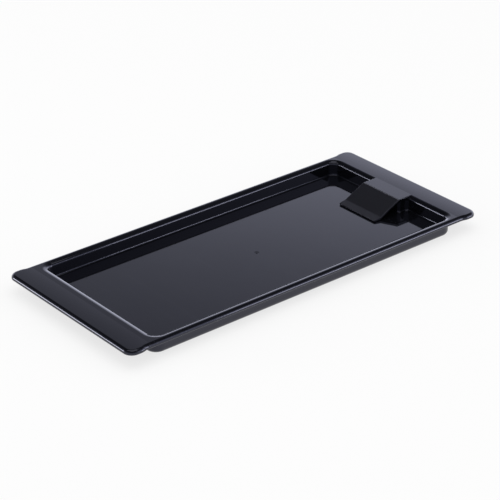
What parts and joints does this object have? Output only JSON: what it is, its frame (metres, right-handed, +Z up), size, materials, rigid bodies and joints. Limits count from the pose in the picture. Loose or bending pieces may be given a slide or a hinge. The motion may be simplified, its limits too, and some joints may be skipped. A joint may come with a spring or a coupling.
{
  "type": "guest check tray",
  "caption": "Shallow black moulded tray with end handles, an open bed for a bill and cash, and a sprung clip tongue that holds the paper down at one end.",
  "frame": {"origin": "middle of the tray's outline, on the plane that its underside rests on", "axes": "+X along the length to the clip end, +Y across the tray, +Z up out of the bed"},
  "size_m": [0.2286, 0.1016, 0.01],
  "materials": {
    "tray_plastic": "polished black",
    "clip_plastic": "satin black"
  },
  "bodies": {
    "tray": {"tray": "tray_plastic"},
    "clip": {"clip": "clip_plastic"}
  },
  "joints": [
    {"name": "clip_flex", "type": "hinge", "parent": "tray", "child": "clip", "pos_m": [0.0917, 0, 0.0094], "axis": [0, 1, 0], "range_deg": [0, 12], "stiffness_Nm_per_rad": 0.8}
  ]
}
